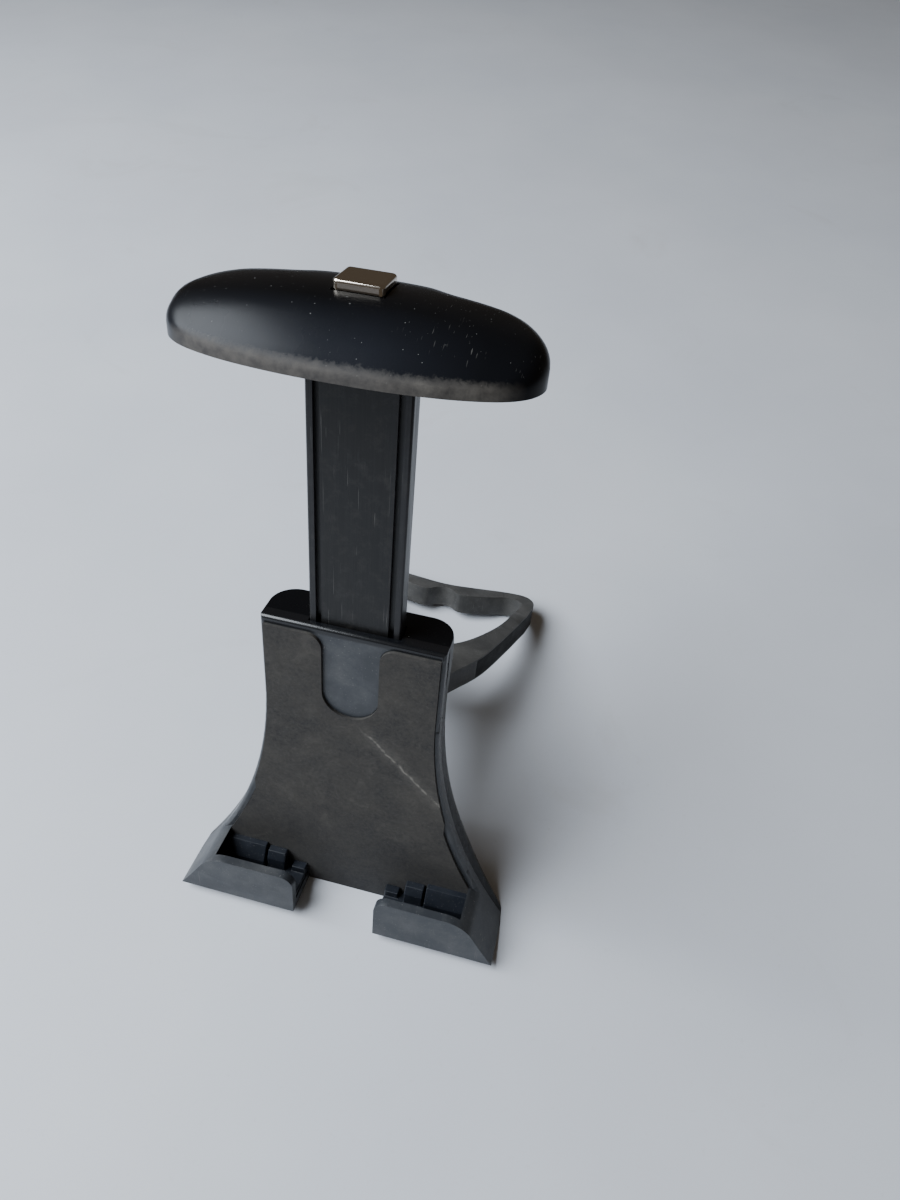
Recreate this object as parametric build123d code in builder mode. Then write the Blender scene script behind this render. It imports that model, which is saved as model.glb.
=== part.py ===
"""Clamping tablet stand: a leaning cradle, a telescopic clamp head and a loop handle behind.

The cradle leans back. Most pieces are drawn in its own directions: x across, v up along its
face, w out of its face towards the user. The handle is drawn in the plane of its loop.
"""
import os
from math import asin, atan2, cos, degrees, hypot, radians, sin, sqrt

from build123d import *

# ---------------------------------------------------------------- driving dimensions, mm and degrees
LEAN = 12.0                 # the cradle face, back from vertical
FOOT_LINE_Y = -63.96

CRADLE_H = 113.8            # along the face
TOP_HALF = 26.8             # half width at the top
FOOT_HALF = 55.0            # half width at the foot
FLARE_START = 88.0          # height at which the sides begin to flare
SPLIT_W = -4.0              # parting line between face casing and back shell
BACK_W = -15.0              # rearmost face of the back shell
FOOT_BACK_W = -7.5          # rearmost face at the foot
FOOT_SLOPE_V = 32.0         # height at which the back starts to curve in to the foot
SHELL_ROUND = 7.5           # rounding between the back and the sides
WALL = 1.8
FLOOR_W = -2.3              # inside of the face casing

PAD_T = 0.8                 # depth of the recess for the rubber on the face
PAD_PROUD = 0.9             # and how far the rubber stands out of the face
PAD_MARGIN = 1.0
PAD_TOP = 111.6
TONGUE_HALF = 8.4           # bare tongue of the face casing inside the rubber
TONGUE_LOW = 82.7

LEDGE_IN = 14.0             # inner end of each ledge, from the middle
LEDGE_H = 17.5
LEDGE_OUT = 15.6            # front of the lip, from the face
LIP_T = 2.8
LEDGE_FLOOR = 3.6
LEDGE_WALL = 2.4            # outer end wall of a ledge
LEDGE_IN_R = 4.5            # rounding of the lip's inner top corner
LEDGE_OUT_R = 11.0          # and of its outer one
RIM_R = 1.2                 # rounding of the top and side edges of the face

RAIL_HALF = 13.1
RAIL_FRONT = -2.6
RAIL_BACK = -8.4
RAIL_LOW = 90.0
RAIL_TOP = 198.6
STRIP_HALF = 9.6            # raised middle strip of the rail
STRIP_TOP = 184.6
RECESS_HALF = 11.2          # recess that leaves a groove on each side of the strip
RECESS_BACK = -4.0
CHANNEL_HALF = 11.0         # hollow of the rail, open to the back
CHANNEL_FRONT = -5.2
SLIDE_GAP = 0.3
GUIDE_LOW = 14.0
STOP_GAP = 4.3              # what the head can still be pulled out by

SHOE_V = (92.0, 98.0)       # friction shoe inside the rail's lower end
SHOE_HALF = 5.0
ROD_HALF = 3.5
ROD_W = (-7.2, -5.6)
ROD_LOW = 110.0

HEAD_HALF = 40.8
HEAD_LIP_V = 192.8          # lower edge of the jaw lip
HEAD_TOP_V = 207.2
HEAD_END_V = 201.8          # top of the wing ends
HEAD_FRONT = 16.3
HEAD_END_FRONT = 8.8
HEAD_BACK = 17.2            # back of the hump over the rail
HEAD_WALL = 2.2
HEAD_FIT = HEAD_WALL + 0.25  # inset of the pieces that fit inside the shell
SEAM_V = 196.4              # seam between upper and lower shell, behind the rail's front
ROOF = (198.8, 200.8)       # jaw roof
CORNER_V = 203.0            # where the slope of the front corners starts at the ends
POST_H = 2.8                # screw posts standing on that plate
JAW_PAD_T = 1.5

BUTTON_HALF = 5.8
BUTTON_W = (-11.0, -0.8)
BUTTON_TOP_V = 207.9
FLANGE_V = (201.9, 202.9)
BUTTON_GAP = 0.3

HUB_V = 52.0
HUB_BORE_R = 9.0
HUB_DISC_R = 17.0
HUB_DISC_W = (-19.8, -15.8)
RETAINER_W = (-12.8, -11.9)
HUB_SCREW_R = 1.6
HINGE_BACK = 27.0           # hinge axis behind the face
HINGE_PIN_R = 2.5
KNUCKLE_BORE_R = 2.58
EAR_R = 6.4
EAR_X = (6.0, 10.4)
KNUCKLE_HALF = 5.0

BAND_T = 8.8                # height of the band that the loop is made of
NECK_START = 11.0           # where the neck begins, from the hinge
LOOP_END = 112.2            # far edge of the loop, from the hinge
GRIP_START = 50.0           # where the rubber on the outer side begins
GRIP_T = 1.6
GRIP_H = 7.8

SCREW_PLACES = [(20.5, 103.0), (-20.5, 103.0), (26.0, 24.0), (-26.0, 24.0)]
SCREW_R = 1.25
BOSS_HOLE_R = 1.3
HEAD_SCREW_X = 27.0
HEAD_SCREW_W = -5.0

# ---------------------------------------------------------------- working planes
CRADLE = Plane(
    origin=(0, FOOT_LINE_Y, 0),
    x_dir=(1, 0, 0),
    z_dir=(0, -cos(radians(LEAN)), sin(radians(LEAN))),
)
HINGE_AXIS = CRADLE.from_local_coords(Vector(0, HUB_V, -HINGE_BACK))
UP_FACE = Axis(CRADLE.origin, CRADLE.y_dir)
OUT_OF_FACE = Axis(CRADLE.origin, CRADLE.z_dir)
# The loop slopes down just far enough for its far edge to rest on the table.
HANDLE_SLOPE = degrees(
    asin(HINGE_AXIS.Z / hypot(LOOP_END, BAND_T / 2)) - atan2(BAND_T / 2, LOOP_END)
)
LOOP = Plane(
    origin=HINGE_AXIS,
    x_dir=(1, 0, 0),
    z_dir=(0, sin(radians(HANDLE_SLOPE)), cos(radians(HANDLE_SLOPE))),
)


def face(w):
    """Plane parallel to the cradle face: local x across, local y up the face."""
    return CRADLE.offset(w)


def level(v):
    """Plane across the cradle at height v: local x across, local y backwards."""
    return Plane(
        origin=CRADLE.from_local_coords(Vector(0, v, 0)),
        x_dir=(1, 0, 0),
        z_dir=CRADLE.y_dir,
    )


def side(x):
    """Plane seen from the right at x: local x is v, local y is w."""
    return Plane(
        origin=CRADLE.from_local_coords(Vector(x, 0, 0)),
        x_dir=CRADLE.y_dir,
        z_dir=(1, 0, 0),
    )


# ---------------------------------------------------------------- shapes used more than once
def block(x_range, v_range, w_range, mode=Mode.ADD):
    """A plain block in cradle directions, worked into the part being built."""
    with BuildSketch(face(w_range[0])) as base:
        with Locations(((x_range[0] + x_range[1]) / 2, (v_range[0] + v_range[1]) / 2)):
            Rectangle(x_range[1] - x_range[0], v_range[1] - v_range[0])
    extrude(base.sketch, amount=w_range[1] - w_range[0], mode=mode)


def post(places, radius, w_range, mode=Mode.ADD):
    """Round posts or holes square to the cradle face, at the given places."""
    with BuildSketch(face(w_range[0])) as base:
        with Locations(*places):
            Circle(radius)
    extrude(base.sketch, amount=w_range[1] - w_range[0], mode=mode)


def half_width(v):
    """Half width of the cradle at height v."""
    spread = FOOT_HALF - TOP_HALF
    flare_r = (FLARE_START**2 + spread**2) / (2 * spread)
    return TOP_HALF + flare_r - sqrt(flare_r**2 - max(0.0, FLARE_START - v) ** 2)


def flared_outline(inset, low, high):
    """Front view of the cradle, its sides moved in by an inset."""
    mid = (low + FLARE_START) / 2
    with BuildSketch() as outline:
        with BuildLine():
            Polyline((0, high), (TOP_HALF - inset, high), (TOP_HALF - inset, FLARE_START))
            ThreePointArc(
                (TOP_HALF - inset, FLARE_START),
                (half_width(mid) - inset, mid),
                (half_width(low) - inset, low),
            )
            Line((half_width(low) - inset, low), (0, low))
            mirror(about=Plane.YZ)
        make_face()
    return outline.sketch


def ledge_walls(grow):
    """Where the floor and the end wall of each ledge stand on the face, grown by a gap."""
    with BuildSketch() as walls:
        add(flared_outline(-5, -5, LEDGE_H + grow))
        Rectangle(2 * (LEDGE_IN - grow), 4 * LEDGE_H, mode=Mode.SUBTRACT)
        add(
            flared_outline(LEDGE_WALL + grow, LEDGE_FLOOR + grow, 2 * LEDGE_H),
            mode=Mode.SUBTRACT,
        )
    return walls.sketch


def pad_outline(inset):
    """Front view of the rubber on the face, which leaves the tongue and the ledges bare."""
    corner = 4.5
    with BuildSketch() as outline:
        add(flared_outline(PAD_MARGIN + inset, -1, PAD_TOP - inset))
        tongue_half = TONGUE_HALF + inset
        tongue_mid = TONGUE_LOW + TONGUE_HALF
        with Locations((0, tongue_mid)):
            Circle(tongue_half, mode=Mode.SUBTRACT)
        with Locations((0, (tongue_mid + PAD_TOP) / 2 + 1)):
            Rectangle(2 * tongue_half, PAD_TOP - tongue_mid + 2, mode=Mode.SUBTRACT)
        shoulders = outline.vertices().group_by(Axis.Y)[-1].sort_by(Axis.X)[1:3]
        fillet(shoulders, corner)
        add(ledge_walls(inset), mode=Mode.SUBTRACT)
    return outline.sketch


def shell_depth(v):
    """How far the back of the shell is behind the face at height v."""
    rise = min(1.0, v / FOOT_SLOPE_V)
    return -FOOT_BACK_W - (BACK_W - FOOT_BACK_W) * sin(radians(90 * rise))


def shell_form(inset):
    """Solid form of the back shell, or of its hollow when inset by the wall."""
    stations = [inset, 9, 18, 30, 44, 60, 78, 96, CRADLE_H - inset]
    with BuildPart() as form:
        for v in stations:
            half = half_width(v) - inset
            depth = shell_depth(v) - inset
            with BuildSketch(level(v)) as section:
                with BuildLine():
                    Polyline(
                        (-half, -SPLIT_W),
                        (-half, depth),
                        (half, depth),
                        (half, -SPLIT_W),
                        close=True,
                    )
                make_face()
                corners = section.vertices().group_by(Axis.Y)[-1]
                fillet(corners, min(SHELL_ROUND - inset, 0.7 * (depth + SPLIT_W)))
        loft()
    return form.part


# ---------------------------------------------------------------- face casing with its two ledges
with BuildPart() as front_casing:
    with BuildSketch(face(SPLIT_W)):
        add(flared_outline(0, 0, CRADLE_H))
    extrude(amount=-SPLIT_W)
    face_edges = front_casing.faces().sort_by(OUT_OF_FACE)[-1].edges()
    fillet([e for group in face_edges.group_by(UP_FACE)[1:] for e in group], RIM_R)
    for sign in (1, -1):
        with BuildSketch(face(SPLIT_W)) as ledge:
            add(flared_outline(0, 0, LEDGE_H + 100))
            with Locations((sign * (LEDGE_IN + 50), LEDGE_H / 2)):
                Rectangle(100, LEDGE_H, mode=Mode.INTERSECT)
            corners = ledge.vertices().group_by(Axis.Y)[-1].sort_by(Axis.X)
            fillet(corners[0 if sign > 0 else -1], LEDGE_IN_R)
            corners = ledge.vertices().group_by(Axis.Y)[-1].sort_by(Axis.X)
            fillet(corners[-1 if sign > 0 else 0], LEDGE_OUT_R)
        extrude(amount=LEDGE_OUT - SPLIT_W)
        with BuildSketch(face(0)):
            add(flared_outline(LEDGE_WALL, LEDGE_FLOOR, LEDGE_H + 100))
            with Locations((sign * (LEDGE_IN + 49), LEDGE_FLOOR + 20)):
                Rectangle(100, 40, mode=Mode.INTERSECT)
        extrude(amount=LEDGE_OUT - LIP_T, mode=Mode.SUBTRACT)
    with BuildSketch(face(SPLIT_W)):
        add(flared_outline(WALL, WALL, CRADLE_H - WALL))
    extrude(amount=FLOOR_W - SPLIT_W, mode=Mode.SUBTRACT)
    with BuildSketch(face(-PAD_T)):
        add(pad_outline(0))
    extrude(amount=PAD_T + 0.2, mode=Mode.SUBTRACT)
    post(SCREW_PLACES, 2.8, (-10.8, FLOOR_W))
    post(SCREW_PLACES, BOSS_HOLE_R, (-10.8, FLOOR_W - 0.4), Mode.SUBTRACT)
    block(
        (-RAIL_HALF - SLIDE_GAP, RAIL_HALF + SLIDE_GAP),
        (CRADLE_H - 3, CRADLE_H + 1),
        (SPLIT_W - 1, FLOOR_W),
        Mode.SUBTRACT,
    )
    with BuildSketch(Plane.XY):
        Rectangle(400, 400)
    extrude(amount=-60, mode=Mode.SUBTRACT)
front_casing.part.label = "front_casing"

with BuildPart() as face_pad:
    with BuildSketch(face(-PAD_T)):
        add(pad_outline(0.1))
    extrude(amount=PAD_T + PAD_PROUD)
    with BuildSketch(Plane.XY):
        Rectangle(400, 400)
    extrude(amount=-60, mode=Mode.SUBTRACT)
face_pad.part.label = "face_pad"


# ---------------------------------------------------------------- rubber in the ledges
def ledge_pad(sign):
    """Stepped rubber in one ledge: a thin sole and three blocks that climb the face."""
    sole_top = LEDGE_FLOOR + 1.6
    steps = [((28.6, 60.0), 13.6, 4.6), ((21.4, 27.8), 12.6, 3.8), ((14.4, 19.2), 7.6, 3.0)]
    with BuildPart() as pad:
        with BuildSketch(face(PAD_PROUD)):
            add(flared_outline(LEDGE_WALL + 0.2, LEDGE_FLOOR, LEDGE_H + 100))
            with Locations((sign * (LEDGE_IN + 50.4), (LEDGE_FLOOR + sole_top) / 2)):
                Rectangle(100, sole_top - LEDGE_FLOOR, mode=Mode.INTERSECT)
        extrude(amount=LEDGE_OUT - LIP_T - PAD_PROUD)
        for (near, far), top, thick in steps:
            span = sorted((sign * near, sign * far))
            block(span, (LEDGE_FLOOR, top), (PAD_PROUD, PAD_PROUD + thick))
        with BuildSketch(face(PAD_PROUD)):
            add(flared_outline(LEDGE_WALL + 0.2, LEDGE_FLOOR, LEDGE_H))
        extrude(amount=LEDGE_OUT, mode=Mode.INTERSECT)
        with BuildSketch(side(-60)):
            with BuildLine():
                Polyline((sole_top + 2, 6.0), (14.0, 2.6), (20.0, 2.6), (20.0, 6.0), close=True)
            make_face()
        extrude(amount=120, mode=Mode.SUBTRACT)
    return pad.part


with BuildPart() as left_ledge_pad:
    add(ledge_pad(-1))
left_ledge_pad.part.label = "left_ledge_pad"

with BuildPart() as right_ledge_pad:
    add(ledge_pad(1))
right_ledge_pad.part.label = "right_ledge_pad"

# ---------------------------------------------------------------- back shell
with BuildPart() as back_shell:
    add(shell_form(0))
    add(shell_form(WALL), mode=Mode.SUBTRACT)
    post(SCREW_PLACES, 3.4, (BACK_W + 1.4, -11.0))
    add(shell_form(0), mode=Mode.INTERSECT)
    post(SCREW_PLACES, 1.5, (BACK_W - 1, -10.0), Mode.SUBTRACT)
    post(SCREW_PLACES, 2.7, (BACK_W - 1, -12.4), Mode.SUBTRACT)
    post([(0, HUB_V)], HUB_DISC_R + 0.6, (BACK_W - 2, BACK_W), Mode.SUBTRACT)
    post([(0, HUB_V)], HUB_BORE_R, (BACK_W - 1, SPLIT_W), Mode.SUBTRACT)
    block(
        (-RAIL_HALF - SLIDE_GAP, RAIL_HALF + SLIDE_GAP),
        (CRADLE_H - 3, CRADLE_H + 1),
        (RAIL_BACK - SLIDE_GAP, SPLIT_W + 1),
        Mode.SUBTRACT,
    )
    with BuildSketch(Plane.XY):
        Rectangle(400, 400)
    extrude(amount=-60, mode=Mode.SUBTRACT)
back_shell.part.label = "back_shell"

with BuildPart() as casing_screws:
    post(SCREW_PLACES, SCREW_R, (-12.4, -4.0))
    post(SCREW_PLACES, 2.5, (-13.6, -12.4))
casing_screws.part.label = "casing_screws"

# ---------------------------------------------------------------- guides and brake track in the cradle
ear_low = RAIL_LOW - 4.5
ear_high = RAIL_LOW - 0.5
with BuildPart() as rail_guides:
    for sign in (1, -1):
        near = RAIL_HALF + SLIDE_GAP
        block(
            sorted((sign * near, sign * (near + 2.2))),
            (GUIDE_LOW, CRADLE_H - WALL),
            (-9.6, FLOOR_W),
        )
        block(
            sorted((sign * (near - 1), sign * (near + 1.5))),
            (GUIDE_LOW - 1, ear_high + STOP_GAP),
            (-7.8, -5.2),
            Mode.SUBTRACT,
        )
rail_guides.part.label = "rail_guides"

with BuildPart() as brake_track:
    block(
        (-RAIL_HALF - SLIDE_GAP, RAIL_HALF + SLIDE_GAP),
        (GUIDE_LOW + 2, CRADLE_H - WALL),
        (-9.6, RAIL_BACK - SLIDE_GAP),
    )
brake_track.part.label = "brake_track"

# ---------------------------------------------------------------- telescopic rail
with BuildPart() as rail:
    block((-RAIL_HALF, RAIL_HALF), (RAIL_LOW, RAIL_TOP), (RAIL_BACK, RAIL_FRONT))
    fillet(rail.edges().filter_by(UP_FACE), 0.6)
    block(
        (-RECESS_HALF, RECESS_HALF), (RAIL_LOW - 1, RAIL_TOP + 1), (RECESS_BACK, 0), Mode.SUBTRACT
    )
    block(
        (-CHANNEL_HALF, CHANNEL_HALF),
        (RAIL_LOW - 1, RAIL_TOP + 1),
        (RAIL_BACK - 1, CHANNEL_FRONT),
        Mode.SUBTRACT,
    )
rail.part.label = "rail"

with BuildPart() as rail_strip:
    block((-STRIP_HALF, STRIP_HALF), (RAIL_LOW, STRIP_TOP), (RECESS_BACK, RAIL_FRONT))
rail_strip.part.label = "rail_strip"

with BuildPart() as rail_end_block:
    block((-14.6, 14.6), (ear_low, ear_high), (-7.5, -5.5))
    block((-CHANNEL_HALF, CHANNEL_HALF), (ear_low, RAIL_LOW + 12), (-8.3, -5.4))
    block(
        (-SHOE_HALF - 0.3, SHOE_HALF + 0.3),
        (SHOE_V[0] - 0.3, SHOE_V[1] + 0.3),
        (-9, -5),
        Mode.SUBTRACT,
    )
rail_end_block.part.label = "rail_end_block"

# ---------------------------------------------------------------- release button, rod, spring and shoe
with BuildPart() as brake_shoe:
    block((-SHOE_HALF, SHOE_HALF), SHOE_V, (RAIL_BACK, -6.0))
    fillet(brake_shoe.edges().filter_by(Axis.X), 0.5)
brake_shoe.part.label = "brake_shoe"

with BuildPart() as push_rod:
    block((-ROD_HALF, ROD_HALF), (ROD_LOW, FLANGE_V[0]), ROD_W)
push_rod.part.label = "push_rod"

with BuildPart() as rod_spring:
    spring_wire = 0.5
    spring_r = 0.95
    spring_low = RAIL_LOW + 12 + spring_wire / 2
    spring_len = ROD_LOW - spring_wire / 2 - spring_low
    spring_foot = CRADLE.from_local_coords(Vector(0, spring_low, (ROD_W[0] + ROD_W[1]) / 2))
    with BuildLine() as coil:
        Helix(
            pitch=spring_len / 6,
            height=spring_len,
            radius=spring_r,
            center=spring_foot,
            direction=CRADLE.y_dir,
        )
    with BuildSketch(Plane(origin=coil.line @ 0, z_dir=coil.line % 0)):
        Circle(spring_wire / 2)
    sweep()
rod_spring.part.label = "rod_spring"

with BuildPart() as button:
    block((-BUTTON_HALF, BUTTON_HALF), (FLANGE_V[1], BUTTON_TOP_V), BUTTON_W)
    fillet(button.edges().filter_by(UP_FACE), 1.2)
    fillet(button.faces().sort_by(UP_FACE)[-1].edges(), 0.8)
    block(
        (-BUTTON_HALF - 1, BUTTON_HALF + 1), FLANGE_V, (BUTTON_W[0] - 1, BUTTON_W[1] + 1)
    )
button.part.label = "button"


# ---------------------------------------------------------------- clamp head
def wing_outline(inset):
    """The head seen along the rail: bowed front, drawn-in ends and a hump behind the rail."""
    corners = {HEAD_HALF: 4.0, 37.5: 6.0, 31.0: 10.0, 18.0: 3.5, 12.5: 3.5}
    with BuildSketch() as outline:
        with BuildLine():
            ThreePointArc(
                (-HEAD_HALF, -HEAD_END_FRONT), (0, -HEAD_FRONT), (HEAD_HALF, -HEAD_END_FRONT)
            )
            half = Polyline(
                (HEAD_HALF, -HEAD_END_FRONT),
                (HEAD_HALF, 3.0),
                (37.5, 10.0),
                (31.0, 13.2),
                (18.0, 14.0),
                (12.5, HEAD_BACK),
                (0, HEAD_BACK),
            )
            mirror(half, about=Plane.YZ)
        make_face()
        for x, radius in corners.items():
            fillet([p for p in outline.vertices() if abs(abs(p.X) - x) < 0.01], radius)
        if inset:
            offset(amount=-inset, kind=Kind.INTERSECTION)
    return outline.sketch


def head_form(inset, drop):
    """Solid form of the head's upper shell; inset and dropped, it is the hollow inside."""
    with BuildPart() as form:
        with BuildSketch(level(HEAD_LIP_V - 2 * drop)):
            add(wing_outline(inset))
        extrude(amount=HEAD_TOP_V - HEAD_LIP_V + 2)
        with BuildSketch(side(-60)):
            with BuildLine():
                crown = Spline(
                    (194.9 - drop, 19.0),
                    (199.6 - drop, 12.6),
                    (204.1 - drop, 5.5),
                    (206.6 - drop, -3.0),
                    (206.2 - drop, -12.0),
                    (204.6 - drop, -18.5),
                )
                Polyline(crown @ 1, (HEAD_LIP_V - 9, -18.0), (HEAD_LIP_V - 9, 19.0), crown @ 0)
            make_face()
        extrude(amount=120, mode=Mode.INTERSECT)
        with BuildSketch(face(-30)):
            with BuildLine():
                arch = ThreePointArc(
                    (-HEAD_HALF, HEAD_END_V - drop),
                    (0, HEAD_TOP_V - drop),
                    (HEAD_HALF, HEAD_END_V - drop),
                )
                Polyline(
                    arch @ 1,
                    (HEAD_HALF, HEAD_LIP_V - 9),
                    (-HEAD_HALF, HEAD_LIP_V - 9),
                    arch @ 0,
                )
            make_face()
        extrude(amount=60, mode=Mode.INTERSECT)
        for sign in (1, -1):
            origin = CRADLE.from_local_coords(Vector(sign * HEAD_HALF, CORNER_V, 0))
            ahead = CRADLE.from_local_coords(Vector(sign * (HEAD_HALF + 0.4), CORNER_V + 0.7, 0.59))
            with BuildSketch(Plane(origin=origin, z_dir=ahead - origin).offset(-drop)):
                Rectangle(120, 120)
            extrude(amount=40, mode=Mode.SUBTRACT)
    return form.part


with BuildPart() as head_cover:
    add(head_form(0, 0))
    add(head_form(HEAD_WALL, HEAD_WALL), mode=Mode.SUBTRACT)
    block((-50, 50), (HEAD_LIP_V - 1, SEAM_V), (-20, RAIL_FRONT), Mode.SUBTRACT)
    post_places = [(HEAD_SCREW_X, HEAD_SCREW_W), (-HEAD_SCREW_X, HEAD_SCREW_W)]
    with BuildSketch(level(ROOF[1])):
        with Locations(*[(x, -w) for x, w in post_places]):
            Circle(2.6)
    extrude(amount=POST_H)
    with BuildSketch(level(ROOF[1])):
        with Locations(*[(x, -w) for x, w in post_places]):
            Circle(1.1)
    extrude(amount=POST_H - 0.8, mode=Mode.SUBTRACT)
    block(
        (-BUTTON_HALF - BUTTON_GAP, BUTTON_HALF + BUTTON_GAP),
        (FLANGE_V[0], HEAD_TOP_V + 1),
        (BUTTON_W[0] - BUTTON_GAP, BUTTON_W[1] + BUTTON_GAP),
        Mode.SUBTRACT,
    )
head_cover.part.label = "head_cover"

with BuildPart() as head_base:
    with BuildSketch(level(HEAD_LIP_V + 0.8)):
        add(wing_outline(HEAD_FIT))
    extrude(amount=ROOF[1] - HEAD_LIP_V - 0.8)
    add(head_form(HEAD_FIT, HEAD_FIT), mode=Mode.INTERSECT)
    with BuildSketch(level(HEAD_LIP_V + 0.8)):
        add(wing_outline(0.5))
    extrude(amount=SEAM_V - HEAD_LIP_V - 1.0)
    block((-50, 50), (HEAD_LIP_V - 1, ROOF[0]), (RAIL_FRONT, 20), Mode.SUBTRACT)
    block(
        (-RAIL_HALF, RAIL_HALF), (HEAD_LIP_V - 1, RAIL_TOP), (RAIL_BACK, RAIL_FRONT), Mode.SUBTRACT
    )
    block(
        (-BUTTON_HALF - 1.4, BUTTON_HALF + 1.4),
        (RAIL_TOP - 2, ROOF[1] + 1),
        (BUTTON_W[0] - 1.4, BUTTON_W[1] + 1.4),
        Mode.SUBTRACT,
    )
    with BuildSketch(level(HEAD_LIP_V)):
        with Locations(*[(x, -w) for x, w in post_places]):
            Circle(1.3)
    extrude(amount=10, mode=Mode.SUBTRACT)
    with BuildSketch(level(HEAD_LIP_V)):
        with Locations(*[(x, -w) for x, w in post_places]):
            Circle(2.5)
    extrude(amount=2.4, mode=Mode.SUBTRACT)
head_base.part.label = "head_base"

with BuildPart() as head_screws:
    with BuildSketch(level(HEAD_LIP_V + 2.4)):
        with Locations(*[(x, -w) for x, w in post_places]):
            Circle(1.05)
    extrude(amount=ROOF[1] + POST_H - 1.2 - HEAD_LIP_V - 2.4)
    with BuildSketch(level(HEAD_LIP_V + 1.0)):
        with Locations(*[(x, -w) for x, w in post_places]):
            Circle(2.2)
    extrude(amount=1.4)
head_screws.part.label = "head_screws"

with BuildPart() as jaw_pad:
    with BuildSketch(level(ROOF[0] - JAW_PAD_T)):
        add(wing_outline(HEAD_WALL + 1.6))
    extrude(amount=JAW_PAD_T)
    add(head_form(HEAD_FIT, HEAD_FIT), mode=Mode.INTERSECT)
    block((-50, 50), (HEAD_LIP_V, ROOF[1]), (-20, RAIL_FRONT + 0.4), Mode.SUBTRACT)
jaw_pad.part.label = "jaw_pad"

# ---------------------------------------------------------------- swivel hub and hinge behind the cradle
with BuildPart() as slip_ring:
    post([(0, HUB_V)], 15.5, (HUB_DISC_W[1] + 0.2, BACK_W))
    post([(0, HUB_V)], HUB_BORE_R + 0.4, (HUB_DISC_W[1], BACK_W), Mode.SUBTRACT)
slip_ring.part.label = "slip_ring"

with BuildPart() as swivel_hub:
    post([(0, HUB_V)], HUB_DISC_R, HUB_DISC_W)
    fillet(swivel_hub.edges().sort_by(OUT_OF_FACE)[0], 1.2)
    post([(0, HUB_V)], HUB_BORE_R - 0.08, (HUB_DISC_W[1], RETAINER_W[0]))
    for sign in (1, -1):
        with BuildSketch(side(sign * EAR_X[0])):
            with Locations((HUB_V, (HUB_DISC_W[0] + 1 - HINGE_BACK) / 2)):
                Rectangle(2 * EAR_R, HINGE_BACK + HUB_DISC_W[0] + 1)
            with Locations((HUB_V, -HINGE_BACK)):
                Circle(EAR_R)
                Circle(HINGE_PIN_R, mode=Mode.SUBTRACT)
        extrude(amount=sign * (EAR_X[1] - EAR_X[0]))
    post([(0, HUB_V)], HUB_SCREW_R, (HUB_DISC_W[0] + 1, RETAINER_W[0] + 1), Mode.SUBTRACT)
swivel_hub.part.label = "swivel_hub"

with BuildPart() as hub_retainer:
    post([(0, HUB_V)], 12.0, RETAINER_W)
    post([(0, HUB_V)], HUB_SCREW_R, RETAINER_W, Mode.SUBTRACT)
hub_retainer.part.label = "hub_retainer"

with BuildPart() as hub_screw:
    post([(0, HUB_V)], HUB_SCREW_R, (HUB_DISC_W[0] + 1, RETAINER_W[1]))
    post([(0, HUB_V)], 3.2, (RETAINER_W[1], RETAINER_W[1] + 1.7))
    fillet(hub_screw.edges().sort_by(OUT_OF_FACE)[-1], 0.6)
hub_screw.part.label = "hub_screw"

with BuildPart() as hinge_pin:
    with BuildSketch(side(-EAR_X[1] - 1.6)):
        with Locations((HUB_V, -HINGE_BACK)):
            Circle(HINGE_PIN_R)
    extrude(amount=2 * EAR_X[1] + 1.6)
    with BuildSketch(side(EAR_X[1])):
        with Locations((HUB_V, -HINGE_BACK)):
            Circle(3.8)
    extrude(amount=1.3)
    fillet(hinge_pin.edges().sort_by(Axis.X)[-1], 0.5)
hinge_pin.part.label = "hinge_pin"

with BuildPart() as pin_clip:
    with BuildSketch(side(-EAR_X[1] - 0.9)):
        with Locations((HUB_V, -HINGE_BACK)):
            Circle(4.2)
            Circle(HINGE_PIN_R, mode=Mode.SUBTRACT)
    extrude(amount=0.8)
pin_clip.part.label = "pin_clip"

with BuildPart() as friction_washers:
    for start in (-EAR_X[0] + 0.05, KNUCKLE_HALF + 0.15):
        with BuildSketch(side(start)):
            with Locations((HUB_V, -HINGE_BACK)):
                Circle(5.4)
                Circle(HINGE_PIN_R, mode=Mode.SUBTRACT)
        extrude(amount=0.8)
friction_washers.part.label = "friction_washers"


# ---------------------------------------------------------------- loop handle
# Outer edge of the loop's right half, in the plane of the loop with the hinge at 0, 0.
arm_edge = Spline(
    (14.0, 18.0), (16.6, 34.0), (24.4, 48.0), (33.0, 73.0), (38.0, 92.0), (39.8, 102.0)
)
corner_edge = Spline(
    arm_edge @ 1, (38.2, 109.4), (31.5, LOOP_END), tangents=(arm_edge % 1, (-1, 0))
)
bar_edge = Spline(
    corner_edge @ 1, (14.5, 110.0), (0, 108.2), tangents=((-1, 0), (-1, -0.15), (-1, 0))
)


def loop_outline(inset):
    """Outer outline of the handle, moved in by an inset."""
    steps = 8
    start = arm_edge @ 0 + inset * (arm_edge % 0).rotate(Axis.Z, 90)
    with BuildSketch() as outline:
        with BuildLine():
            for edge in (arm_edge, corner_edge, bar_edge):
                places = [k / steps for k in range(steps + 1)]
                moved = [edge @ u + inset * (edge % u).rotate(Axis.Z, 90) for u in places]
                Spline(*moved, tangents=(edge % 0, edge % 1))
            Polyline((0, NECK_START), (12.0 - inset, NECK_START), start)
            mirror(about=Plane.YZ)
        make_face()
    return outline.sketch


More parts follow.
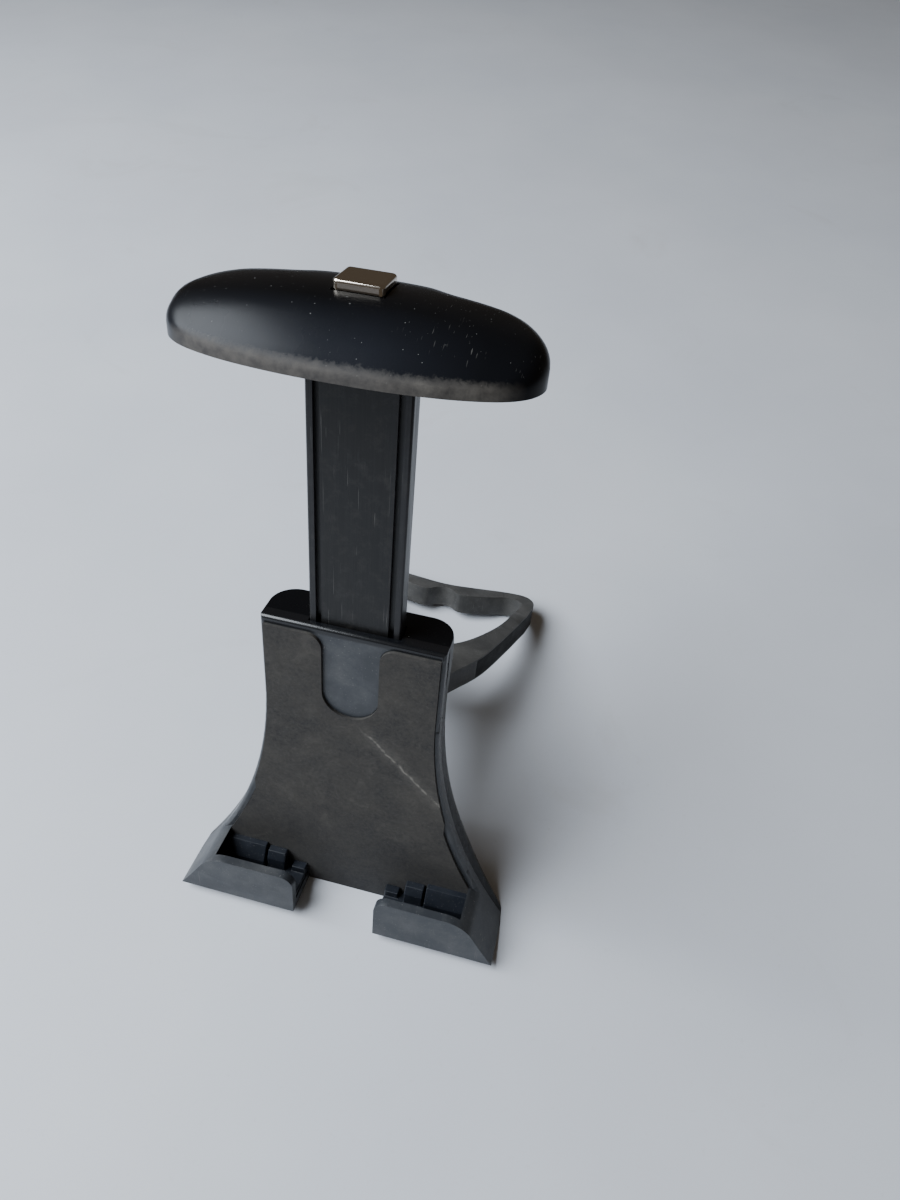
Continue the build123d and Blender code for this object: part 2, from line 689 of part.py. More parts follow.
def finger_hole():
    """The hole in the loop, with a wave along the far bar for the fingers."""
    with BuildSketch() as hole:
        with BuildLine():
            arm = Spline(
                (0, 53.5), (12.9, 57.4), (24.0, 71.0), (30.6, 86.0), (33.8, 98.0), (30.0, 106.8),
                tangents=((1, 0), (-1, 0.2)),
            )
            Spline(
                arm @ 1, (18.5, 103.0), (8.0, 100.4), (0, 104.4),
                tangents=((-1, 0.2), (-1, -0.3), (-1, 0), (-1, 0)),
            )
            mirror(about=Plane.YZ)
        make_face()
    return hole.sketch


def grip_band():
    """Thin band that follows the outside of the loop beyond the neck."""
    with BuildSketch() as band:
        add(loop_outline(0))
        add(loop_outline(GRIP_T), mode=Mode.SUBTRACT)
        with Locations((0, GRIP_START + 50)):
            Rectangle(120, 100, mode=Mode.INTERSECT)
    return band.sketch


with BuildPart() as handle_core:
    with BuildSketch(LOOP):
        add(loop_outline(0))
        add(finger_hole(), mode=Mode.SUBTRACT)
    extrude(amount=BAND_T / 2, both=True)
    with BuildSketch(LOOP):
        add(grip_band())
    extrude(amount=GRIP_H / 2, both=True, mode=Mode.SUBTRACT)
    with BuildSketch(Plane(origin=HINGE_AXIS, x_dir=LOOP.y_dir, z_dir=(1, 0, 0))):
        Circle(4.9)
        with Locations((NECK_START / 2 + 1, 0)):
            Rectangle(NECK_START + 2, BAND_T)
        Circle(KNUCKLE_BORE_R, mode=Mode.SUBTRACT)
    extrude(amount=KNUCKLE_HALF, both=True)
handle_core.part.label = "handle_core"

with BuildPart() as handle_grip:
    with BuildSketch(LOOP):
        add(grip_band())
    extrude(amount=GRIP_H / 2, both=True)
handle_grip.part.label = "handle_grip"

# ---------------------------------------------------------------- write each piece
os.makedirs("parts", exist_ok=True)
PIECES = [
    front_casing,
    back_shell,
    face_pad,
    left_ledge_pad,
    right_ledge_pad,
    casing_screws,
    rail_guides,
    brake_track,
    slip_ring,
    rail,
    rail_strip,
    rail_end_block,
    rod_spring,
    head_cover,
    head_base,
    head_screws,
    jaw_pad,
    button,
    push_rod,
    brake_shoe,
    swivel_hub,
    hub_retainer,
    hub_screw,
    hinge_pin,
    pin_clip,
    friction_washers,
    handle_core,
    handle_grip,
]
for piece in PIECES:
    export_step(piece.part, f"parts/{piece.part.label}.step")
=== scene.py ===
from math import cos, inf, radians, sin, sqrt

import bmesh
import bpy
from mathutils import Matrix, Vector


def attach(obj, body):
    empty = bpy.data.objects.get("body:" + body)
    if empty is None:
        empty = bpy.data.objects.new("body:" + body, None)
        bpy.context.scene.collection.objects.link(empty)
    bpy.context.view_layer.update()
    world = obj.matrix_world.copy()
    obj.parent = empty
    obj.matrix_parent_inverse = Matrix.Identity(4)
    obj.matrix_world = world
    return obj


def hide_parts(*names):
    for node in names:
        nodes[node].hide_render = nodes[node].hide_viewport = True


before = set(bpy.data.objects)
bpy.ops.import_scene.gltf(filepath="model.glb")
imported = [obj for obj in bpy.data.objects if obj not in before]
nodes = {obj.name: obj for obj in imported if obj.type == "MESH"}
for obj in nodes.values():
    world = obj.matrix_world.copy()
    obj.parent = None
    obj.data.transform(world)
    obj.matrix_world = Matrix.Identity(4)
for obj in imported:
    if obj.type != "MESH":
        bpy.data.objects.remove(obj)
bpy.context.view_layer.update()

# The cradle leans back. Its directions: across (x), up along the face (v), out of the face (w).
LEAN = radians(12.0)
FOOT_Y = -0.06396
UP = Vector((0, sin(LEAN), cos(LEAN)))
OUT = Vector((0, -cos(LEAN), sin(LEAN)))
FOOT = Vector((0, FOOT_Y, 0))


def place(x, v, w):
    """Point of the row frame, in metres, for a point of the cradle in millimetres."""
    return FOOT + Vector((x, 0, 0)) * 0.001 + UP * (v * 0.001) + OUT * (w * 0.001)


# ---------------------------------------------------------------- material kit
class Nodes:
    """Short calls for building one node material."""

    def __init__(self, name):
        self.mat = bpy.data.materials.new(name)
        self.mat.use_nodes = True
        self.tree = self.mat.node_tree
        self.tree.nodes.clear()
        self.out = self.tree.nodes.new("ShaderNodeOutputMaterial")
        self.bsdf = self.tree.nodes.new("ShaderNodeBsdfPrincipled")
        self.tree.links.new(self.bsdf.outputs["BSDF"], self.out.inputs["Surface"])
        self.coord = self.tree.nodes.new("ShaderNodeTexCoord").outputs["Object"]

    def new(self, kind, inputs=None, **settings):
        node = self.tree.nodes.new(kind)
        for key, value in settings.items():
            setattr(node, key, value)
        for key, value in (inputs or {}).items():
            self.put(node.inputs[key], value)
        return node

    def put(self, socket, value):
        if isinstance(value, bpy.types.NodeSocket):
            self.tree.links.new(value, socket)
        else:
            socket.default_value = value

    def cradle(self):
        """Object coordinates turned into the cradle's x, v, w directions, in millimetres."""
        moved = self.new(
            "ShaderNodeVectorMath", {0: self.coord, 1: (0, -FOOT_Y, 0)}, operation="ADD"
        )
        parts = []
        for axis in (Vector((1, 0, 0)), UP, OUT):
            dot = self.new(
                "ShaderNodeVectorMath",
                {0: moved.outputs[0], 1: tuple(axis * 1000)},
                operation="DOT_PRODUCT",
            )
            parts.append(dot.outputs["Value"])
        joined = self.new("ShaderNodeCombineXYZ", {0: parts[0], 1: parts[1], 2: parts[2]})
        return joined.outputs[0], parts

    def stretch(self, vector, scale, turn=(0, 0, 0)):
        node = self.new(
            "ShaderNodeMapping", {"Vector": vector, "Scale": scale, "Rotation": turn}
        )
        return node.outputs[0]

    def noise(self, scale, detail=4.0, rough=0.55, vector=None, distortion=0.0):
        node = self.new(
            "ShaderNodeTexNoise",
            {
                "Vector": self.coord if vector is None else vector,
                "Scale": scale,
                "Detail": detail,
                "Roughness": rough,
                "Distortion": distortion,
            },
        )
        return node.outputs["Fac"]

    def math(self, operation, a, b=0.0, clamp=False):
        node = self.new("ShaderNodeMath", {0: a, 1: b}, operation=operation, use_clamp=clamp)
        return node.outputs[0]

    def remap(self, value, low, high, to_low=0.0, to_high=1.0):
        node = self.new(
            "ShaderNodeMapRange",
            {
                "Value": value,
                "From Min": low,
                "From Max": high,
                "To Min": to_low,
                "To Max": to_high,
            },
            clamp=True,
        )
        return node.outputs["Result"]

    def mix(self, factor, a, b):
        node = self.new("ShaderNodeMix", data_type="RGBA")
        self.put(node.inputs[0], factor)
        for socket, value in ((node.inputs[6], a), (node.inputs[7], b)):
            self.put(socket, value if isinstance(value, bpy.types.NodeSocket) else (*value, 1.0))
        return node.outputs[2]

    def scratches(self, vector, turn, density, seed_shift=0.0):
        """Thin straight scratches along one direction, in patches."""
        shifted = self.new(
            "ShaderNodeVectorMath",
            {0: vector, 1: (seed_shift, seed_shift * 0.7, seed_shift * 1.3)},
            operation="ADD",
        ).outputs[0]
        thin = self.noise(1.0, 2.0, 0.4, self.stretch(shifted, (3.2, 0.05, 0.4), (0, 0, turn)))
        line = self.remap(thin, 0.712 - density, 0.735 - density)
        patch = self.remap(self.noise(0.05, 2.0, 0.5, shifted), 0.48, 0.62)
        return self.math("MULTIPLY", line, patch)

    def bump(self, height, strength, distance):
        node = self.new(
            "ShaderNodeBump",
            {"Height": height, "Strength": strength, "Distance": distance},
        )
        self.put(self.bsdf.inputs["Normal"], node.outputs[0])

    def finish(self, colour, roughness, **fixed):
        self.put(self.bsdf.inputs["Base Color"], colour)
        self.put(self.bsdf.inputs["Roughness"], roughness)
        for key, value in fixed.items():
            self.bsdf.inputs[key.replace("_", " ")].default_value = value
        return self.mat


def black_gloss(name, band=False):
    """Polished black plastic with specks of dust and, on the head, wear, a few scratches and a
    painted bluish sheen.
    """
    n = Nodes(name)
    cradle, (x, v, w) = n.cradle()
    cloud = n.noise(60.0, 3.0)
    base = n.mix(cloud, (0.0022, 0.0023, 0.0028), (0.0045, 0.0048, 0.006))
    specks = n.remap(n.noise(1700.0, 1.0, 0.5), 0.765, 0.8)
    colour = n.mix(n.math("MULTIPLY", specks, 0.5), base, (0.3, 0.3, 0.29))
    rough = n.remap(n.noise(35.0, 4.0, 0.6), 0.3, 0.75, 0.24, 0.33)
    rough = n.math("ADD", rough, n.math("MULTIPLY", specks, 0.3), clamp=True)
    if band:
        marks = n.math(
            "MAXIMUM", n.scratches(cradle, 0.9, 0.01), n.scratches(cradle, 1.3, 0.0, 37.0)
        )
        rubbed = n.math("MULTIPLY", n.remap(x, 8.0, 20.0), n.remap(w, -6.0, 4.0))
        marks = n.math("MULTIPLY", marks, n.math("ADD", n.math("MULTIPLY", rubbed, 0.85), 0.04))
        colour = n.mix(n.math("MULTIPLY", marks, 0.4), colour, (0.3, 0.29, 0.27))
        # the front lip is worn down to a dull tan
        ragged = n.math("MULTIPLY", n.math("SUBTRACT", n.noise(0.9, 5.0, 0.7, cradle), 0.5), 2.6)
        height = n.math("ADD", v, ragged)
        low_part = n.remap(height, 195.4, 196.8, 1.0, 0.0)
        front = n.math("MULTIPLY", n.remap(w, 8.5, 12.5), low_part)
        blotch = n.remap(n.noise(0.45, 5.0, 0.65, cradle), 0.3, 0.62, 0.5, 1.0)
        worn = n.math("MULTIPLY", front, blotch)
        tan = n.mix(n.noise(0.25, 4.0, 0.55, cradle), (0.045, 0.04, 0.035), (0.14, 0.128, 0.112))
        colour = n.mix(worn, colour, tan)
        rough = n.math("ADD", rough, n.math("MULTIPLY", worn, 0.45), clamp=True)
        # painted bluish sheen, a painted reflection, on the slope above the lip, weaker towards the
        # right end
        painted_sheen = n.math("MULTIPLY", n.remap(w, 2.0, 12.0), n.remap(x, 6.0, 30.0, 1.0, 0.25))
        colour = n.mix(n.math("MULTIPLY", painted_sheen, 0.03), colour, (0.2, 0.24, 0.36))
    grain = n.noise(1500.0, 3.0, 0.6)
    n.bump(grain, 0.03, 0.0002)
    return n.finish(colour, rough, Specular_IOR_Level=0.14)


def satin_plastic(name, dark, light, rough_low, rough_high, dust=0.25, grain=0.12, rim=False):
    """Moulded plastic with a fine grain, hand marks and dust, and if asked a polished rim."""
    n = Nodes(name)
    cradle, (_, v, w) = n.cradle()
    base = n.mix(n.remap(n.noise(45.0, 4.0, 0.6), 0.3, 0.7), dark, light)
    specks = n.remap(n.noise(2100.0, 1.0, 0.5), 0.72, 0.76)
    film = n.math(
        "MULTIPLY", n.remap(n.noise(90.0, 5.0, 0.7), 0.42, 0.75), n.noise(1800.0, 2.0, 0.6)
    )
    film = n.math("MULTIPLY", film, dust)
    marks = n.math("MULTIPLY", n.scratches(cradle, 0.5, 0.015), 0.3)
    cover = n.math("MAXIMUM", n.math("MULTIPLY", specks, dust * 1.6), film)
    cover = n.math("MAXIMUM", cover, marks, clamp=True)
    colour = n.mix(cover, base, (0.3, 0.29, 0.27))
    rough = n.remap(n.noise(70.0, 5.0, 0.6), 0.3, 0.7, rough_low, rough_high)
    if rim:
        # the band along the upper edge and the rounded sides are polished by handling
        edge = n.math("MAXIMUM", n.remap(v, 111.3, 112.0), n.remap(w, -0.25, -0.9))
        edge = n.math("MULTIPLY", edge, n.remap(v, 18.0, 24.0))
        colour = n.mix(edge, colour, (0.005, 0.0055, 0.007))
        rough = n.math("SUBTRACT", rough, n.math("MULTIPLY", edge, 0.17))
    n.bump(n.noise(3200.0, 2.0, 0.5), grain, 0.00012)
    return n.finish(colour, rough, Specular_IOR_Level=0.5)


def metal(name, tone, rough_low, rough_high):
    """Bright or brushed metal with fine wear."""
    n = Nodes(name)
    streak = n.noise(1.0, 3.0, 0.6, n.stretch(n.coord, (4200.0, 160.0, 900.0)))
    base = n.mix(streak, tuple(0.88 * c for c in tone), tone)
    rough = n.remap(n.noise(300.0, 4.0, 0.6), 0.3, 0.7, rough_low, rough_high)
    n.bump(streak, 0.03, 0.0001)
    return n.finish(base, rough, Metallic=1.0)


def face_rubber(name):
    """Dusty brown-grey rubber sheet: mottled, darker at the foot by painted shade, with one pale
    diagonal crease.
    """
    n = Nodes(name)
    cradle, (x, v, _) = n.cradle()
    broad = n.remap(n.noise(0.06, 5.0, 0.65, cradle, 0.4), 0.34, 0.66)
    base = n.mix(broad, (0.023, 0.0225, 0.0235), (0.046, 0.043, 0.039))
    fine = n.remap(n.noise(0.9, 7.0, 0.75, cradle), 0.36, 0.68)
    base = n.mix(n.math("MULTIPLY", fine, 0.5), base, (0.072, 0.066, 0.058))
    smear = n.remap(n.noise(0.09, 6.0, 0.7, cradle, 1.4), 0.54, 0.7)
    base = n.mix(n.math("MULTIPLY", smear, 0.35), base, (0.09, 0.083, 0.074))
    # painted shade: the sheet darkens towards its foot, where the ledges shade it
    low_painted_shade = n.remap(v, 6.0, 40.0, 0.3, 0.0)
    base = n.mix(low_painted_shade, base, (0.02, 0.0225, 0.029))
    lint = n.remap(n.noise(4.5, 1.0, 0.5, cradle), 0.735, 0.765)
    base = n.mix(n.math("MULTIPLY", lint, 0.4), base, (0.3, 0.29, 0.27))
    # crease: a faint line from under the tongue down to the right edge
    wander = n.math("MULTIPLY", n.math("SUBTRACT", n.noise(0.1, 3.0, 0.6, cradle), 0.5), 4.0)
    across = n.math("ADD", n.math("MULTIPLY", x, 0.71), n.math("MULTIPLY", v, 0.7))
    offset = n.math("ABSOLUTE", n.math("ADD", n.math("SUBTRACT", across, 58.5), wander))
    crease = n.remap(offset, 0.1, 0.75, 1.0, 0.0)
    halo = n.math("MULTIPLY", n.remap(offset, 0.2, 3.6, 1.0, 0.0), 0.3)
    crease = n.math("MAXIMUM", crease, halo)
    inside = n.math("MULTIPLY", n.remap(x, 2.0, 8.0), n.remap(x, 29.0, 33.0, 1.0, 0.0))
    broken = n.remap(n.noise(0.5, 4.0, 0.7, cradle), 0.35, 0.6)
    crease = n.math("MULTIPLY", n.math("MULTIPLY", crease, inside), broken)
    base = n.mix(n.math("MULTIPLY", crease, 0.45), base, (0.32, 0.3, 0.265))
    rough = n.remap(n.noise(0.5, 4.0, 0.6, cradle), 0.3, 0.7, 0.72, 0.9)
    height = n.math("ADD", n.noise(6.0, 4.0, 0.7, cradle), n.math("MULTIPLY", crease, 0.8))
    n.bump(height, 0.35, 0.0002)
    return n.finish(base, rough, Specular_IOR_Level=0.3)


def rail_finish(name, dark, light):
    """Black rail, rubbed along its travel, with a few pale scratches across."""
    n = Nodes(name)
    cradle, _ = n.cradle()
    streak = n.noise(1.0, 5.0, 0.65, n.stretch(cradle, (2.6, 0.035, 1.0)))
    base = n.mix(n.remap(streak, 0.32, 0.72), dark, light)
    marks = n.math(
        "MAXIMUM", n.scratches(cradle, 0.9, 0.005, 11.0), n.scratches(cradle, -1.1, 0.005, 53.0)
    )
    base = n.mix(n.math("MULTIPLY", marks, 0.3), base, (0.36, 0.35, 0.33))
    dust = n.remap(n.noise(0.3, 5.0, 0.7, cradle), 0.5, 0.8)
    base = n.mix(n.math("MULTIPLY", dust, 0.06), base, (0.25, 0.23, 0.21))
    rough = n.remap(n.noise(1.0, 4.0, 0.6, n.stretch(cradle, (1.5, 0.05, 1.0))), 0.3, 0.7, 0.26, 0.42)
    n.bump(streak, 0.06, 0.0002)
    return n.finish(base, rough, Specular_IOR_Level=0.36)


def rubber(name, dark, light, rough=0.7):
    """Moulded rubber with dust in its texture."""
    n = Nodes(name)
    base = n.mix(n.remap(n.noise(160.0, 5.0, 0.65), 0.3, 0.7), dark, light)
    specks = n.remap(n.noise(2400.0, 1.0, 0.5), 0.7, 0.75)
    base = n.mix(n.math("MULTIPLY", specks, 0.3), base, (0.25, 0.24, 0.23))
    spread = n.remap(n.noise(120.0, 4.0, 0.6), 0.3, 0.7, rough - 0.1, rough + 0.1)
    n.bump(n.noise(2600.0, 3.0, 0.6), 0.2, 0.00012)
    return n.finish(base, spread, Specular_IOR_Level=0.35)


finishes = {
    "gloss": black_gloss("black_gloss"),
    "head": black_gloss("head_gloss", band=True),
    "casing": satin_plastic(
        "casing_satin", (0.024, 0.027, 0.032), (0.034, 0.038, 0.045), 0.37, 0.49, rim=True
    ),
    "inner": satin_plastic("inner_black", (0.012, 0.012, 0.013), (0.02, 0.02, 0.021), 0.5, 0.65),
    "pad": face_rubber("face_rubber"),
    "ledge": rubber("ledge_rubber", (0.006, 0.008, 0.012), (0.012, 0.015, 0.022), 0.5),
    "rail": rail_finish("rail_black", (0.008, 0.008, 0.009), (0.019, 0.019, 0.021)),
    "strip": rail_finish("strip_black", (0.0045, 0.0044, 0.0048), (0.0095, 0.009, 0.009)),
    "jaw": rubber("jaw_rubber", (0.012, 0.012, 0.013), (0.03, 0.029, 0.028)),
    "chrome": metal("button_chrome", (0.72, 0.66, 0.58), 0.06, 0.13),
    "steel": metal("steel", (0.5, 0.51, 0.53), 0.25, 0.4),
    "brake": rubber("brake_rubber", (0.02, 0.016, 0.013), (0.04, 0.033, 0.028)),
    "nylon": satin_plastic("nylon", (0.55, 0.54, 0.5), (0.66, 0.65, 0.61), 0.4, 0.55, 0.1),
    "handle": satin_plastic("handle_grey", (0.026, 0.0255, 0.025), (0.042, 0.041, 0.039), 0.38, 0.5),
    "grip": rubber("grip_rubber", (0.006, 0.006, 0.007), (0.014, 0.014, 0.014), 0.65),
}

# ---------------------------------------------------------------- finishes on the CAD pieces
dressing = {
    "front_casing": ("casing", 0.35),
    "back_shell": ("gloss", 0.3),
    "face_pad": ("pad", 0.0),
    "left_ledge_pad": ("ledge", 0.4),
    "right_ledge_pad": ("ledge", 0.4),
    "casing_screws": ("steel", 0.2),
    "rail_guides": ("inner", 0.0),
    "brake_track": ("inner", 0.0),
    "slip_ring": ("nylon", 0.0),
    "rail": ("rail", 0.25),
    "rail_strip": ("strip", 0.2),
    "rail_end_block": ("inner", 0.0),
    "rod_spring": ("steel", 0.0),
    "head_base": ("inner", 0.3),
    "head_screws": ("steel", 0.2),
    "jaw_pad": ("jaw", 0.3),
    "button": ("chrome", 0.7),
    "push_rod": ("inner", 0.0),
    "brake_shoe": ("brake", 0.0),
    "swivel_hub": ("gloss", 0.3),
    "hub_retainer": ("steel", 0.0),
    "hub_screw": ("steel", 0.0),
    "hinge_pin": ("steel", 0.2),
    "pin_clip": ("steel", 0.0),
    "friction_washers": ("nylon", 0.0),
    "handle_core": ("handle", 0.5),
    "handle_grip": ("grip", 0.3),
}


def soften(obj, width):
    """Rounds the sharp edges of a piece by a small width in millimetres."""
    weld = obj.modifiers.new("weld", "WELD")
    weld.merge_threshold = 0.00001
    bevel = obj.modifiers.new("edge_rounding", "BEVEL")
    bevel.width = width * 0.001
    bevel.segments = 3
    bevel.limit_method = "ANGLE"
    bevel.angle_limit = radians(35)
    bevel.harden_normals = True


for name, (finish, rounding) in dressing.items():
    node = nodes[name]
    node.data.materials.clear()
    node.data.materials.append(finishes[finish])
    if rounding:
        soften(node, rounding)

# ---------------------------------------------------------------- shell of the clamp head
# Heights v, places w and sizes in the cradle's directions, in millimetres.
LIP_V = 192.8               # lower edge of the shell in front
SEAM_V = 196.4              # seam with the lower shell, behind the rail's front
RAIL_FRONT_W = -2.6
SHELL_WALL = 2.2
TOP_V = 207.2               # highest point of the shell, in the middle
ARCH_DROP = 5.4             # how much lower the shell is at ARCH_HALF from the middle
ARCH_HALF = 40.8
BLEND_SPAN = 4.0            # height over which crown and arch run into each other
FRONT_W = 17.0              # front of the lip in the middle
FRONT_BOW = 7.2             # how far the lip draws back at BOW_HALF
BOW_HALF = 38.2
BOW_POWER = 2.6
FRONT_END_W = 7.0           # rearmost place the bow is followed to
BOW_SHARE = 0.78            # share of the bow that the crown follows
EDGE_ROUND = 4.6            # rounding of the upper edge at the back and the ends
EDGE_SHARPEN = 3.4          # how much smaller that is at the lip
SHARPEN_START_W = 3.0
SHARPEN_SPAN = 7.0
SPINE_SHARE = 0.62          # length of the innermost ring, of the whole shell
PLAN_STEPS = 5
BUTTON_HOLE = ((-6.1, 6.1), (199.0, 215.0), (-11.3, -0.5))
BELOW_SEAM = ((-60, 60), (180, SEAM_V), (-30, RAIL_FRONT_W))

# Right half of the shell seen along the rail, from the lip round the end to the hump: x, w.
HALF_PLAN = [
    (0.0, FRONT_W), (12.0, 16.6), (24.0, 15.0), (33.4, 12.2), (38.8, 8.8), (41.6, 4.6), (42.2, 0.2),
    (40.8, -4.8), (37.0, -9.6), (31.0, -12.6), (24.5, -13.5), (18.6, -14.4), (13.8, -16.5),
    (9.0, -17.3), (0.0, -17.4),
]
# Section through the middle of the shell, from the lip over the crown to the hump: w, v.
CROWN = [
    (19.0, 194.2), (16.0, 196.0), (11.5, 199.8), (5.0, 204.1), (-3.0, 206.6), (-12.0, 206.2),
    (-18.5, 204.6),
]


def catmull(points, steps):
    """Smooth closed curve through the points, with some steps from each to the next."""
    curve = []
    count = len(points)
    for i in range(count):
        p0, p1, p2, p3 = (Vector(points[(i + k - 1) % count]) for k in range(4))
        for step in range(steps):
            t = step / steps
            curve.append(
                0.5
                * (
                    2 * p1
                    + (p2 - p0) * t
                    + (2 * p0 - 5 * p1 + 4 * p2 - p3) * t * t
                    + (3 * p1 - p0 - 3 * p2 + p3) * t * t * t
                )
            )
    return curve


def crown_height(w):
    """Height of the middle of the shell, by smooth steps between the crown's stations."""
    stations = sorted(CROWN)
    w = min(max(w, stations[0][0]), stations[-1][0])
    for i in range(len(stations) - 1):
        (a, low), (b, high) = stations[i], stations[i + 1]
        if w <= b:
            before = stations[max(i - 1, 0)]
            after = stations[min(i + 2, len(stations) - 1)]
            slope_a = (high - before[1]) / (b - before[0])
            slope_b = (after[1] - low) / (after[0] - a)
            span = b - a
            t = (w - a) / span
            return (
                (2 * t**3 - 3 * t**2 + 1) * low
                + (t**3 - 2 * t**2 + t) * span * slope_a
                + (3 * t**2 - 2 * t**3) * high
                + (t**3 - t**2) * span * slope_b
            )
    return stations[-1][1]


plan = catmull(HALF_PLAN + [(-x, w) for x, w in HALF_PLAN[-2:0:-1]], PLAN_STEPS)


def edge_distance(x, w):
    """How far a point of the plan lies inside the shell's outline."""
    spot = Vector((x, w))
    nearest = inf
    for i, a in enumerate(plan):
        b = plan[(i + 1) % len(plan)]
        along = max(0.0, min(1.0, (spot - a).dot(b - a) / (b - a).length_squared))
        nearest = min(nearest, (spot - a - (b - a) * along).length)
    return nearest


def shell_height(x, w, inside):
    """Outer surface of the shell over a point of its plan; inside is the distance to the edge."""
    front = FRONT_W - FRONT_BOW * (abs(x) / BOW_HALF) ** BOW_POWER
    crown = crown_height(w + BOW_SHARE * (FRONT_W - max(front, FRONT_END_W)))
    arch = TOP_V - ARCH_DROP * (x / ARCH_HALF) ** 2
    closeness = max(0.0, 1.0 - abs(crown - arch) / BLEND_SPAN)
    top = min(crown, arch) - closeness * closeness
    towards_lip = min(1.0, max(0.0, (w - SHARPEN_START_W) / SHARPEN_SPAN))
    softness = EDGE_ROUND - EDGE_SHARPEN * towards_lip
    gap = max(0.0, softness - inside)
    return top - (softness - sqrt(softness**2 - gap**2))


def data_from(mesh, name):
    """Mesh data made from a finished bmesh, with its faces turned outwards."""
    bmesh.ops.recalc_face_normals(mesh, faces=mesh.faces)
    data = bpy.data.meshes.new(name)
    mesh.to_mesh(data)
    mesh.free()
    return data


def shell_mesh():
    """Closed wall of the head: an outer and an inner dome of rings, joined at the lower edge."""
    mesh = bmesh.new()
    ring_shares = (1.0, 0.992, 0.978, 0.958, 0.93, 0.89, 0.83, 0.74, 0.62, 0.48, 0.32, 0.16, 0.05)
    skirt_shares = (0.6, 0.25, 0.0)

    def ring(points, heights):
        return [mesh.verts.new(place(p.x, h, p.y)) for p, h in zip(points, heights)]

    def join(first, second):
        for i in range(len(first)):
            j = (i + 1) % len(first)
            mesh.faces.new((first[i], first[j], second[j], second[i]))

    inner_plan = []
    for i, p in enumerate(plan):
        run = (plan[(i + 1) % len(plan)] - plan[i - 1]).normalized()
        inner_plan.append(p + Vector((run.y, -run.x)) * SHELL_WALL)
    skirts = []
    caps = []
    for outline, drop in ((plan, 0.0), (inner_plan, SHELL_WALL)):
        rings = []
        for share in ring_shares:
            along = SPINE_SHARE + (1 - SPINE_SHARE) * share
            spots = [Vector((p.x * along, p.y * share)) for p in outline]
            heights = [shell_height(q.x, q.y, edge_distance(q.x, q.y)) - drop for q in spots]
            rings.append(ring(spots, heights))
        for first, second in zip(rings, rings[1:]):
            join(first, second)
        caps.append(mesh.faces.new(rings[-1]))
        skirt = rings[0]
        edge_heights = [shell_height(p.x, p.y, 0.0) - drop for p in outline]
        for share in skirt_shares:
            lower = ring(outline, [LIP_V + share * (h - LIP_V) for h in edge_heights])
            join(lower, skirt)
            skirt = lower
        skirts.append(skirt)
    join(skirts[1], skirts[0])
    bmesh.ops.triangulate(mesh, faces=caps)
    return data_from(mesh, "head_shell")


def cutter(spans):
    """Box in the cradle's directions, used to cut a piece and then removed."""
    mesh = bmesh.new()
    bmesh.ops.create_cube(mesh, size=1.0)
    for vert in mesh.verts:
        vert.co = place(*[lo + (hi - lo) * (c + 0.5) for (lo, hi), c in zip(spans, vert.co)])
    box = bpy.data.objects.new("cutter", data_from(mesh, "cutter"))
    bpy.context.scene.collection.objects.link(box)
    return box


head_shell = bpy.data.objects.new("head_shell", shell_mesh())
bpy.context.scene.collection.objects.link(head_shell)
cutters = [cutter(BELOW_SEAM), cutter(BUTTON_HOLE)]
for box in cutters:
    cut = head_shell.modifiers.new("cut", "BOOLEAN")
    cut.object = box
    cut.operation = "DIFFERENCE"
bpy.context.view_layer.update()
graph = bpy.context.evaluated_depsgraph_get()
head_shell.data = bpy.data.meshes.new_from_object(head_shell.evaluated_get(graph))
head_shell.modifiers.clear()
for box in cutters:
    bpy.data.objects.remove(box)
for polygon in head_shell.data.polygons:
    polygon.use_smooth = True
head_shell.data.materials.clear()
head_shell.data.materials.append(finishes["head"])
soften(head_shell, 0.35)
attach(head_shell, "clamp")
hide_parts("head_cover")

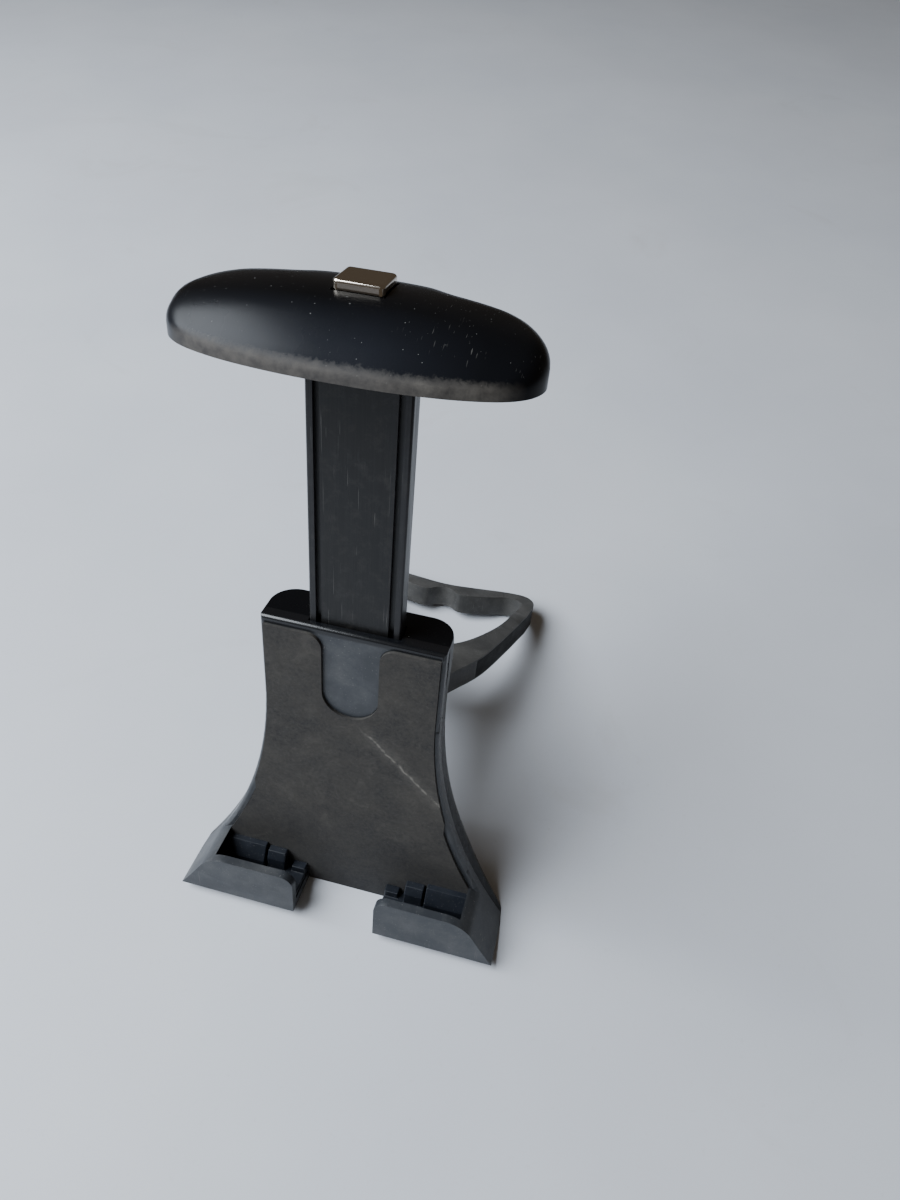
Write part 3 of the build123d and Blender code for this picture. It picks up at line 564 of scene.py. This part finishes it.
# ---------------------------------------------------------------- table top
bpy.ops.mesh.primitive_plane_add(size=6, location=(0, 0.8, 0))
floor = bpy.context.object
floor.name = "table_top"
n = Nodes("table_laminate")
cloud = n.remap(n.noise(6.0, 4.0, 0.6), 0.3, 0.7)
speck = n.remap(n.noise(420.0, 3.0, 0.6), 0.62, 0.74)
tint = n.mix(cloud, (0.59, 0.615, 0.67), (0.65, 0.675, 0.725))
tint = n.mix(n.math("MULTIPLY", speck, 0.12), tint, (0.42, 0.41, 0.4))
smudge = n.remap(n.noise(9.0, 6.0, 0.65, distortion=1.6), 0.6, 0.76)
tint = n.mix(n.math("MULTIPLY", smudge, 0.16), tint, (0.4, 0.38, 0.35))
n.bump(n.noise(900.0, 3.0, 0.6), 0.05, 0.0003)
floor.data.materials.append(n.finish(tint, 0.55, Specular_IOR_Level=0.4))

# ---------------------------------------------------------------- light
world = bpy.data.worlds.new("soft_daylight")
bpy.context.scene.world = world
world.use_nodes = True
sky = world.node_tree.nodes["Background"]
sky.inputs["Color"].default_value = (1.0, 0.82, 0.62, 1.0)
sky.inputs["Strength"].default_value = 0.085


def soft_light(name, place_at, aim, size, watts, colour):
    """Rectangular lamp aimed at a point."""
    lamp = bpy.data.lights.new(name, "AREA")
    lamp.shape = "RECTANGLE"
    lamp.size, lamp.size_y = size
    lamp.energy = watts
    lamp.color = colour
    obj = bpy.data.objects.new(name, lamp)
    bpy.context.scene.collection.objects.link(obj)
    obj.location = place_at
    obj.rotation_euler = (Vector(aim) - Vector(place_at)).to_track_quat("-Z", "Y").to_euler()


soft_light("window", (-0.85, -0.3, 1.0), (0, 0, 0.03), (1.1, 0.9), 40, (0.88, 0.94, 1.0))
soft_light("window_front", (-0.6, -1.4, 1.3), (0, 0, 0.05), (1.4, 1.0), 1.2, (0.8, 0.88, 1.0))

# ---------------------------------------------------------------- camera
CAMERA_LENS = 25.56
CAMERA_X = 0.0569
CAMERA_BEFORE_FOOT = 0.11212
CAMERA_Z = 0.2927
CAMERA_RIGHT = (0.9683, 0.2482, 0.0300)
CAMERA_BACK = (0.1418, -0.6442, 0.7516)
camera_data = bpy.data.cameras.new("camera")
camera_data.sensor_width = 36
camera_data.lens = CAMERA_LENS
camera_data.clip_start = 0.01
camera = bpy.data.objects.new("camera", camera_data)
bpy.context.scene.collection.objects.link(camera)
side = Vector(CAMERA_RIGHT).normalized()
back = Vector(CAMERA_BACK)
back = (back - side * back.dot(side)).normalized()
rise = back.cross(side)
turn = Matrix((side, rise, back)).transposed().to_4x4()
eye = (CAMERA_X, FOOT_Y - CAMERA_BEFORE_FOOT, CAMERA_Z)
camera.matrix_world = Matrix.Translation(eye) @ turn
bpy.context.scene.camera = camera
